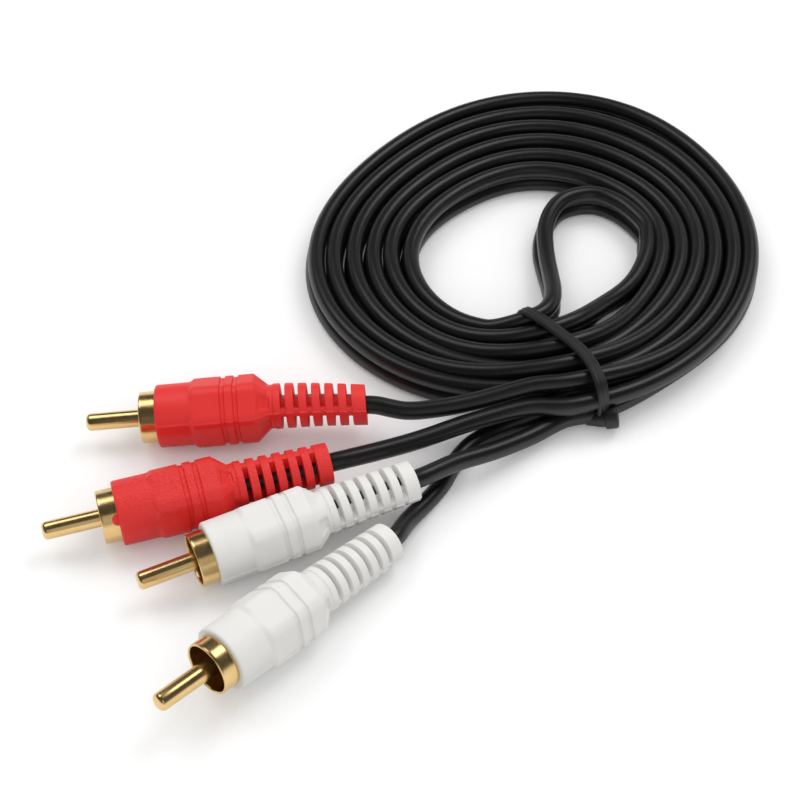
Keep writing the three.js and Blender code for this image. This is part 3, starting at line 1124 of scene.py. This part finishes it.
@dataclass
class TwinLead:
    """The whole twin cable: two strands side by side, from plug to plug."""

    winding: Winding
    diameter: float = 3.4
    sides: int = 20
    spacing: float = 1.1
    turn_step: float = 6.0
    last_turn: float = 1076.0
    first_inner: float = 20.0
    first_outer: float = -90.0
    held_places: tuple[float, ...] = (33.3, 38.0, 42.5, 47.0)
    straight_run: float = 1.7
    web_half_width: float = 0.8
    web_half_height: float = 0.4

    # The fold loop's middle, from the right of the coil's hole back to the tie, with the
    # distance that the lower strand leans to the left of the upper one
    loop: tuple[tuple[float, float, float, float], ...] = (
        (78.7, 81.3, 3.4, 0.0), (76.1, 86.3, 3.4, 0.0), (72.9, 89.7, 3.4, 0.0),
        (69.4, 91.5, 3.4, 0.1), (65.6, 91.3, 3.4, 0.2), (62.1, 89.5, 3.4, 0.3),
        (59.8, 86.0, 3.4, 0.5), (58.3, 81.0, 3.4, 0.6), (58.0, 75.9, 3.45, 0.7),
        (58.1, 71.0, 3.8, 0.4), (58.4, 65.5, 4.6, 0.1), (58.5, 60.3, 5.6, 0.0),
        (57.9, 56.4, 6.3, 0.0), (56.2, 53.4, 6.6, 0.0), (53.3, 51.6, 6.6, 0.0),
    )

    def turns(self, half: int, upper: int) -> list[Vector]:
        """One strand's centres through the turns of one half, from the middle outwards.

        Args:
            half: 0 for the inner half of the doubled lead, 1 for the outer half.
            upper: 0 for the lower strand, 1 for the upper.

        Returns:
            The centres, in millimetres.
        """
        start = self.first_outer if half else self.first_inner
        count = round((self.last_turn - start) / self.turn_step)
        return [
            self.winding.strand(start + (self.last_turn - start) * i / count, half, upper)
            for i in range(count + 1)
        ]

    def fold(self, upper: int) -> list[Vector]:
        """One strand's centres round the fold loop, from the outer half's start to the tie.

        Args:
            upper: 0 for the lower strand, 1 for the upper.

        Returns:
            The centres, in millimetres.
        """
        out = []
        for x, y, z, lean in self.loop:
            side = 0.0 if upper else -lean
            out.append(Vector((x + side, y, z + (upper - 0.5) * self.diameter)))
        return out

    def wound(self, upper: int) -> list[Vector]:
        """One strand's centres in the coil: in along the inner half, round the fold and out."""
        inwards = self.fold(upper) + list(self.turns(0, upper))
        return list(reversed(inwards)) + self.turns(1, upper)

    def free_end(self, plug: PhonoPlug) -> list[Vector]:
        """A cable's centres from inside its plug to the tie, in millimetres."""
        places = (*self.held_places, plug.end, plug.end + self.straight_run)
        return [plug.located(along) / MM for along in places] + [Vector(p) for p in plug.tail]

    def strand(self, upper: int, inner: PhonoPlug, outer: PhonoPlug) -> list[Vector]:
        """One strand's centreline from plug to plug.

        Args:
            upper: 0 for the lower strand, 1 for the upper.
            inner: The plug on the half that lies inside in the doubled lead.
            outer: The plug on the other half.

        Returns:
            Evenly spaced points, in metres.
        """
        knots = [*self.free_end(inner), *self.wound(upper), *reversed(self.free_end(outer))]
        return [p * MM for p in through(knots, self.spacing)]

    def tube(self, name: str, line: Sequence[Vector]) -> bpy.types.Object:
        """Sweeps the round jacket along a centreline.

        Args:
            name: The object's name.
            line: The centreline, in metres.

        Returns:
            The new object.
        """
        radius = self.diameter / 2 * MM
        points: list[Vector] = []
        for at, (side, top) in zip(line, frames_along(line)):
            for i in range(self.sides):
                a = 2 * math.pi * i / self.sides
                points.append(at + side * (radius * math.cos(a)) + top * (radius * math.sin(a)))
        return make_object(name, points, capped(len(line), self.sides), sharp_above=60)

    def web(self) -> bpy.types.Object:
        """Builds the thin web that joins the two strands through the coil and the loop.

        Returns:
            The new object.
        """
        low, other = [through(self.wound(upper), self.spacing * 2) for upper in (0, 1)]
        high = evenly(other, length_of(other) / (len(low) - 1))
        corners = ((-1, -1), (1, -1), (1, 1), (-1, 1))
        points: list[Vector] = []
        for i, (a, b) in enumerate(zip(low, high)):
            ahead = direction_at(low, i)
            side = ahead.cross(b - a).normalized()
            top = side.cross(ahead)
            for across, over in corners:
                offset = side * (across * self.web_half_width) + top * (over * self.web_half_height)
                points.append(((a + b) / 2 + offset) * MM)
        return make_object("twin_cable_web", points, capped(len(low), len(corners)))

    def build(self, plugs: dict[str, PhonoPlug]) -> None:
        """Args:
            plugs: The plugs by name.
        """
        pairs = (
            ("upper_strand", 1, "red_plug_a", "red_plug_b"),
            ("lower_strand", 0, "white_plug_b", "white_plug_a"),
        )
        for name, upper, inner, outer in pairs:
            line = self.strand(upper, plugs[inner], plugs[outer])
            tube = self.tube(name, line)
            Finish.BLACK.dress(tube)
            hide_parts(f"{inner}_tail_cable", f"{outer}_tail_cable")
            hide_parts("twin_cable_coil", "twin_cable_fold_loop")
            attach(tube, BODY)
            tuple(plugs[inner].located(plugs[inner].end))
            log.info("%s: %.3f m", name, length_of(line))
        web = self.web()
        Finish.BLACK.dress(web)
        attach(web, BODY)
        log.info("%s: %d faces", web.name, len(web.data.polygons))


# Tie


@dataclass
class Tie:
    """The short black tie: a flat ridged strand wrapped once round the winding."""

    width: float = 2.5
    thickness: float = 0.95
    ridge_count: int = 3
    ridge_height: float = 0.14
    spacing: float = 0.35

    # The middle of the tie's inner face, once round the winding
    route: tuple[Point, ...] = (
        (53.1, 51.4, 10.2), (55.9, 48.1, 11.0), (58.8, 45.2, 10.7), (61.6, 41.9, 10.7),
        (63.5, 38.8, 10.6), (64.8, 35.4, 10.5), (65.6, 32.6, 9.6), (66.0, 31.4, 7.6),
        (66.1, 31.1, 4.4), (65.6, 31.6, 1.6), (64.3, 33.5, 0.62), (60.9, 38.9, 0.56),
        (56.8, 45.6, 0.56), (54.0, 50.1, 0.62), (52.6, 52.5, 1.5), (52.0, 53.5, 4.2),
        (52.0, 53.3, 7.5), (52.4, 52.6, 9.3),
    )

    # Which of the route's points are its two lower corners, and a point that it goes round
    lower_corners: tuple[int, int] = (9, 14)
    wrapped: Point = (59.0, 42.4, 5.4)

    # The cut end's outline: its root by length and share of the radius, its cone and shoulder
    # by shares of the length and radius, and the dimple in its face by depth and share
    stub_start: Point = (63.1, 31.2, 2.2)
    stub_heading: Point = (0.975, -0.05, 0.18)
    stub_radius: float = 2.2
    stub_length: float = 6.1
    stub_rounding: float = 0.5
    stub_root: tuple[tuple[float, float], ...] = ((-1.2, 0.1), (-0.9, 0.3), (0.4, 0.55))
    stub_cone: tuple[tuple[float, float], ...] = ((0.4, 0.76), (0.6, 0.82), (0.62, 0.97), (0.66, 1))
    stub_dimple: tuple[tuple[float, float], ...] = ((0.02, 0.62), (0.16, 0.55), (0.2, 0.0227))

    def section(self) -> list[tuple[float, float]]:
        """The strand's section: flat inside, fine ridges outside, rounded edges.

        Returns:
            Points across and up from the section's middle, once round.
        """
        half, thick = self.width / 2, self.thickness
        steps = 16
        top = []
        for i in range(steps + 1):
            x = half * (1 - 2 * i / steps)
            edge = math.sqrt(max(1 - (abs(x) / half) ** 4, 0.0))
            wave = math.cos(2 * math.pi * self.ridge_count * x / self.width)
            ridge = self.ridge_height * (0.5 + 0.5 * wave)
            top.append((x, thick / 2 * edge + ridge * edge))
        corner, flat = (half * 0.93, -thick * 0.35), (half * 0.6, -thick / 2)
        bottom = [(-corner[0], corner[1]), (-flat[0], flat[1]), flat, corner]
        return bottom + top

    def band(self) -> bpy.types.Object:
        """Sweeps the section once round the winding.

        Returns:
            The new object.
        """
        knots = [Vector(p) for p in self.route]
        fine = through(knots[-3:] + knots + knots[:3], self.spacing)
        halfway = len(fine) // 2
        first = min(range(halfway), key=lambda i: (fine[i] - knots[0]).length)
        last = min(range(halfway, len(fine)), key=lambda i: (fine[i] - knots[0]).length)
        line = fine[first:last]
        near, far = self.lower_corners
        axis = (knots[near] - knots[far]).cross(UP).normalized()
        section = self.section()
        points: list[Vector] = []
        for i, at in enumerate(line):
            ahead = (line[(i + 1) % len(line)] - line[i - 1]).normalized()
            outward = axis.cross(ahead).normalized()
            if outward.dot(at - Vector(self.wrapped)) < 0:
                outward = -outward
            for x, height in section:
                points.append((at + axis * x + outward * height) * MM)
        faces = ring_faces(len(line), len(section), closed=True)
        return make_object("cable_tie_band", points, faces, sharp_above=50)

    def stub(self) -> bpy.types.Object:
        """Builds the tie's round cut end beside the winding.

        Returns:
            The new object.
        """
        start = Vector(self.stub_start)
        ahead = Vector(self.stub_heading).normalized()
        side = ahead.cross(UP).normalized()
        top = side.cross(ahead)
        radius, long, rounding = self.stub_radius, self.stub_length, self.stub_rounding
        profile = [(along, radius * share) for along, share in self.stub_root]
        profile += [(long * along, radius * share) for along, share in self.stub_cone]
        for degrees in (0, 30, 60, 90):
            turn = math.radians(degrees)
            inset = rounding * (1 - math.cos(turn))
            profile.append((long - rounding + rounding * math.sin(turn), radius - inset))
        profile += [(long - depth, radius * share) for depth, share in self.stub_dimple]
        sides = 40
        points: list[Vector] = []
        for along, reach in profile:
            for i in range(sides):
                a = 2 * math.pi * i / sides
                flat = side * (reach * math.cos(a)) + top * (reach * math.sin(a))
                points.append((start + ahead * along + flat) * MM)
        return make_object("cable_tie_stub", points, capped(len(profile), sides), sharp_above=50)

    def build(self) -> None:
        """Makes, dresses and places the tie."""
        pieces = [self.band(), self.stub()]
        Finish.TIE.dress(*pieces)
        for piece in pieces:
            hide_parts("cable_tie")
            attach(piece, BODY)
            log.info("%s: %d faces", piece.name, len(piece.data.polygons))


# Stage


def stand(name: str, data: bpy.types.ID, at: Point, target: Point) -> bpy.types.Object:
    """Puts a camera or a lamp in the scene, facing a point.

    Args:
        name: The object's name.
        data: The camera's or lamp's data.
        at: Where it stands, in millimetres.
        target: The point that it faces, in millimetres.

    Returns:
        The new object.
    """
    made = bpy.data.objects.new(name, data)
    place, aim = Vector(at) * MM, Vector(target) * MM
    made.location = place
    made.rotation_euler = (aim - place).to_track_quat("-Z", "Y").to_euler()
    bpy.context.scene.collection.objects.link(made)
    return made


@dataclass(frozen=True)
class SoftLamp:
    """A square soft lamp."""

    name: str
    at: Point
    size: float
    watts: float

    def hang(self, target: Point) -> None:
        """Adds the lamp to the scene.

        Args:
            target: The point that it faces.
        """
        data = bpy.data.lights.new(self.name, "AREA")
        data.shape = "SQUARE"
        data.size = self.size * MM
        data.energy = self.watts
        stand(self.name, data, self.at, target)


@dataclass
class Studio:
    """The white sweep, the soft lamps and the camera."""

    # The photograph's width and the camera's focal length in its pixels, and where the camera
    # stands and looks
    image_size: float = 800.0
    focal_pixels: float = 1789.88
    sensor_width: float = 36.0
    near_clip: float = 10.0
    camera_at: Point = (28.8, -192.0, 246.8)
    looks_at: Point = (28.8, 38.1, 0.0)

    # Two soft lamps behind the object, left and right, and a weak one in front
    lamps: tuple[SoftLamp, ...] = (
        SoftLamp("left_softbox", (-300.0, 340.0, 700.0), 400.0, 1.15),
        SoftLamp("right_softbox", (360.0, 360.0, 680.0), 400.0, 1.6),
        SoftLamp("front_fill", (200.0, -600.0, 450.0), 500.0, 0.4),
    )
    lit_middle: Point = (30.0, 50.0, 0.0)

    # The light from all round, and what reflections see: a glowing sweep under a dim ceiling,
    # with the sines of the angles up between which one turns into the other
    ambient: float = 0.8
    sweep_glow: float = 1.0
    ceiling: float = 0.06
    sweep_ends: tuple[float, float] = (0.12, 0.3)

    # The floor: its colour in the light that it throws back and as the camera sees it, and
    # the glow that makes up the rest of its white
    floor_reach: float = 3000.0
    floor_colours: tuple[str, str] = ("#d2d2d2", "#f6f6f6")
    floor_lift: float = 0.08

    def camera(self) -> None:
        """Sets the camera where the photograph was taken from."""
        data = bpy.data.cameras.new("camera")
        data.sensor_width = self.sensor_width
        data.lens = self.sensor_width * self.focal_pixels / self.image_size
        data.clip_start = self.near_clip * MM
        bpy.context.scene.camera = stand("camera", data, self.camera_at, self.looks_at)

    def world(self) -> None:
        """Gives an even pale light that the camera and reflections see as white."""
        world = bpy.data.worlds.new("studio_white")
        world.use_nodes = True
        tree = world.node_tree
        tree.nodes.clear()
        white = linear("#ffffff")
        light = add_node(
            tree, "ShaderNodeBackground", {"Color": white, "Strength": self.ambient}
        )
        direction = add_node(tree, "ShaderNodeTexCoord").outputs["Generated"]
        up = add_node(tree, "ShaderNodeSeparateXYZ", links={"Vector": direction}).outputs["Z"]
        low, high = self.sweep_ends
        sweep = add_node(
            tree, "ShaderNodeMapRange",
            {
                "From Min": low, "From Max": high,
                "To Min": self.sweep_glow, "To Max": self.ceiling,
            },
            {"Value": up},
        )
        path = add_node(tree, "ShaderNodeLightPath")
        brightness = add_node(
            tree, "ShaderNodeMath", operation="MAXIMUM",
            links={0: sweep.outputs["Result"], 1: path.outputs["Is Camera Ray"]},
        )
        seen = add_node(
            tree, "ShaderNodeBackground", {"Color": white},
            {"Strength": brightness.outputs["Value"]},
        )
        mixed = add_node(
            tree, "ShaderNodeMixShader",
            links={
                "Fac": self.backdrop_rays(tree),
                1: light.outputs["Background"],
                2: seen.outputs["Background"],
            },
        )
        add_node(tree, "ShaderNodeOutputWorld", links={"Surface": mixed.outputs["Shader"]})
        bpy.context.scene.world = world

    @staticmethod
    def backdrop_rays(tree: bpy.types.NodeTree) -> bpy.types.NodeSocket:
        """Picks out the rays that see the backdrop: the camera's, reflected and refracted.

        Args:
            tree: The node tree.

        Returns:
            The output that is 1 for those rays and 0 for the others.
        """
        path = add_node(tree, "ShaderNodeLightPath")
        mirrored = add_node(
            tree, "ShaderNodeMath", operation="MAXIMUM",
            links={0: path.outputs["Is Glossy Ray"], 1: path.outputs["Is Transmission Ray"]},
        )
        shown = add_node(
            tree, "ShaderNodeMath", operation="MAXIMUM",
            links={0: path.outputs["Is Camera Ray"], 1: mirrored.outputs["Value"]},
        )
        return shown.outputs["Value"]

    def floor(self) -> None:
        """Lays a wide white floor that keeps the shadows."""
        corners = [Vector((x, y, 0)) for x, y in ((-1, -1), (1, -1), (1, 1), (-1, 1))]
        points = [corner * (self.floor_reach * MM) for corner in corners]
        made = make_object("studio_floor", points, [(0, 1, 2, 3)])
        material, tree = blank_material("matt_white_paper")
        backdrop = self.backdrop_rays(tree)
        thrown, shown = self.floor_colours
        white = add_node(
            tree, "ShaderNodeMixRGB", {"Color1": linear(thrown), "Color2": linear(shown)},
            {"Fac": backdrop},
        )
        paper = add_node(
            tree, "ShaderNodeBsdfDiffuse", {"Roughness": 0.5}, {"Color": white.outputs["Color"]}
        )
        glow = add_node(
            tree, "ShaderNodeMath", {1: self.floor_lift}, {0: backdrop}, operation="MULTIPLY"
        )
        lift = add_node(
            tree, "ShaderNodeEmission", {"Color": linear("#ffffff")},
            {"Strength": glow.outputs["Value"]},
        )
        both = add_node(
            tree, "ShaderNodeAddShader",
            links={0: paper.outputs["BSDF"], 1: lift.outputs["Emission"]},
        )
        add_node(tree, "ShaderNodeOutputMaterial", links={"Surface": both.outputs["Shader"]})
        made.data.materials.append(material)

    def build(self) -> None:
        """Sets up everything that isn't the object, apart from the camera."""
        self.floor()
        self.world()
        for lamp in self.lamps:
            lamp.hang(self.lit_middle)
        bpy.context.scene.view_settings.view_transform = "Standard"


PLUGS = (
    PhonoPlug(
        "red_plug_a", Finish.RED, "red_moulding", tip=(-28.35, 27.85), heading=3.2, pitch=3.8,
        roll=-27, key_angle=0, bend=(-0.75, -0.9), bare_angle=62, bare_half=44,
        tail=(
            (30.0, 29.0, 6.9), (37.0, 29.8, 7.0), (43.0, 31.4, 7.1), (48.5, 33.1, 7.5),
            (53.3, 34.4, 7.9),
        ),
    ),
    PhonoPlug(
        "red_plug_b", Finish.RED_PITTED, "red_moulding", tip=(-32.9, 1.95), heading=16.0,
        pitch=2.0, roll=-103, key_angle=246, bare_angle=270, bare_half=80,
        tail=((25.6, 19.6, 6.7), (31.9, 22.3, 6.3), (42.4, 27.3, 6.0), (52.6, 30.6, 6.1)),
    ),
    PhonoPlug(
        "white_plug_a", Finish.WHITE, "white_moulding", tip=(-15.4, -8.95), heading=24.8,
        pitch=1.6, roll=7.5, key_angle=0, bend=(-0.25, 0.0), bare_angle=94, bare_half=32,
        tail=((38.8, 17.5, 5.8), (45.8, 21.6, 4.3), (52.7, 26.2, 3.1)),
    ),
    PhonoPlug(
        "white_plug_b", Finish.WHITE, "white_moulding", tip=(-9.3, -35.5), heading=45.0,
        pitch=-5.0, roll=15, key_angle=0, bend=(-0.15, 0.0), bare_angle=110, bare_half=14,
        first_bare_slot=4,
        tail=(
            (30.1, 6.4, 2.8), (33.8, 12.0, 1.8), (36.3, 15.9, 1.7), (38.3, 20.2, 1.7),
            (41.9, 25.4, 1.7), (47.5, 29.0, 2.1), (53.6, 31.0, 3.6),
        ),
    ),
)


def main() -> None:
    """Builds the camera, the cords, the plugs, the tie and the stage, in that order."""
    logging.basicConfig(level=logging.INFO, format="%(message)s")
    studio = Studio()
    studio.camera()
    TwinLead(Winding()).build({plug.name: plug for plug in PLUGS})
    for plug in PLUGS:
        plug.build()
    Tie().build()
    studio.build()


if __name__ == "__main__":
    main()
